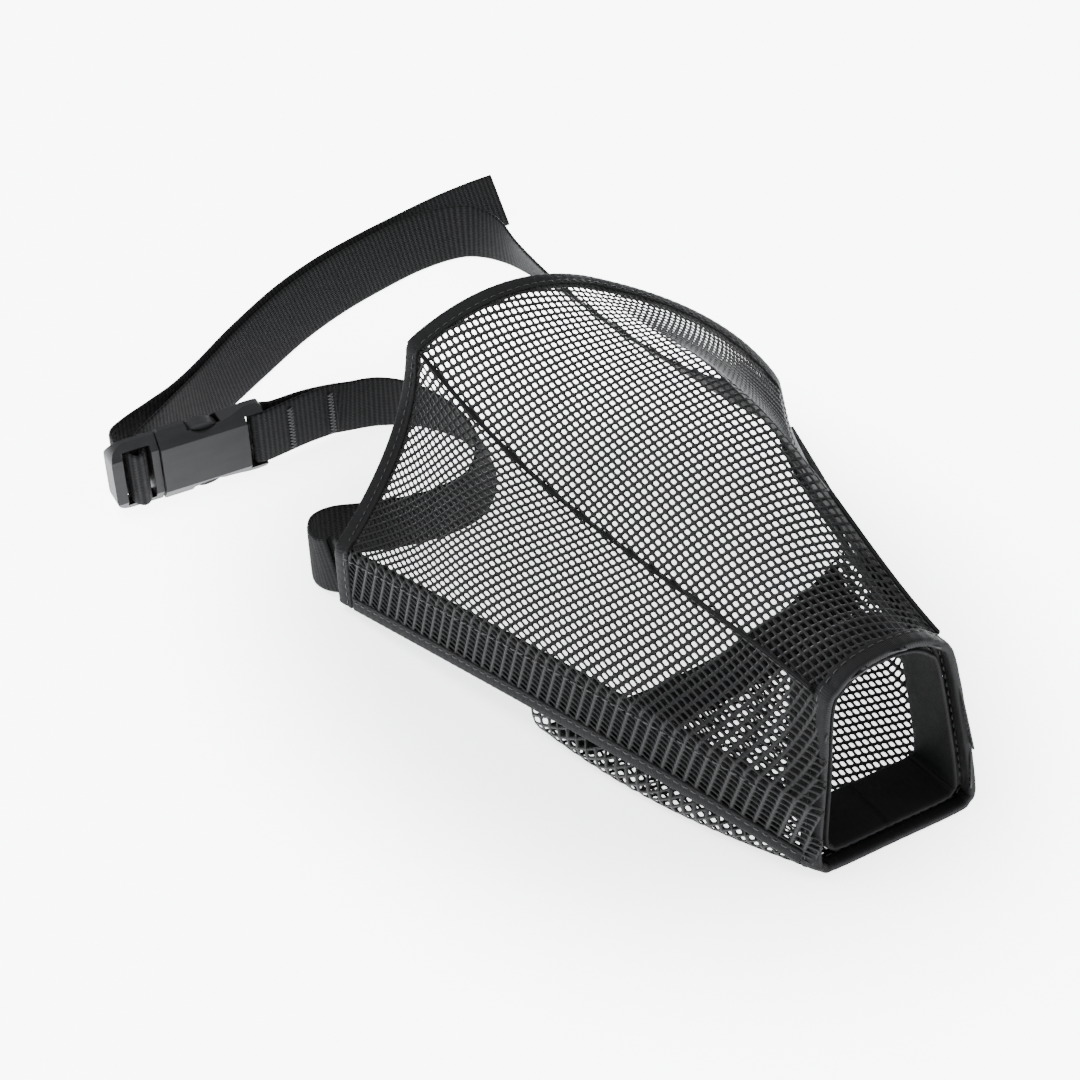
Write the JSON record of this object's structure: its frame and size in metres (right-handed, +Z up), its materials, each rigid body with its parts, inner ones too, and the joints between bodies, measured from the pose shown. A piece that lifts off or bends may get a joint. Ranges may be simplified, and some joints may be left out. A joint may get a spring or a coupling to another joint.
{
  "type": "soft mesh dog muzzle",
  "caption": "Soft net muzzle with bound edges, an open nose, a scooped chin net and a webbing neck strap closed by a side-release buckle.",
  "frame": {"origin": "middle of the underside of the nose binding, on the surface that the muzzle lies on", "axes": "+X to the muzzle's right side, +Y from the nose to the neck, +Z up"},
  "size_m": [0.2081, 0.3559, 0.0734],
  "materials": {
    "net": "open square polyester net, satin threads",
    "binding_tape": "smooth folded polyester tape",
    "webbing": "ribbed nylon webbing",
    "thread": "sewing thread",
    "buckle_plastic": "satin moulded acetal"
  },
  "bodies": {
    "muzzle": {"top_net": "net", "left_side_net": "net", "right_side_net": "net", "chin_net": "net", "nose_binding": "binding_tape", "rear_binding": "binding_tape", "left_lower_binding": "binding_tape", "right_lower_binding": "binding_tape", "nose_facing": "webbing", "chin_webbing": "webbing", "ridge_darts": "binding_tape", "left_strap_sewn": "webbing", "left_strap_free": "webbing", "right_strap_sewn": "webbing", "right_strap_free": "webbing", "bar_tacks": "thread", "buckle_socket": "buckle_plastic"},
    "plug": {"buckle_plug": "buckle_plastic", "right_strap_tail": "webbing"},
    "upper_prong": {"upper_prong": "buckle_plastic"},
    "lower_prong": {"lower_prong": "buckle_plastic"}
  },
  "joints": [
    {"name": "buckle_release", "type": "slide", "parent": "muzzle", "child": "plug", "axis": [-0.9978, 0.0663, 0], "range_m": [0, 0.03], "deforming": ["right_strap_free", "right_strap_tail", "upper_prong", "lower_prong"]},
    {"name": "upper_prong_squeeze", "type": "hinge", "parent": "plug", "child": "upper_prong", "pos_m": [-0.10642, 0.25957, 0.0211], "axis": [0.0663, 0.9978, 0], "range_deg": [0, 9], "stiffness_Nm_per_rad": 0.02},
    {"name": "lower_prong_squeeze", "type": "hinge", "parent": "plug", "child": "lower_prong", "pos_m": [-0.10642, 0.25957, 0.0059], "axis": [-0.0663, -0.9978, 0], "range_deg": [0, 9], "stiffness_Nm_per_rad": 0.02}
  ]
}
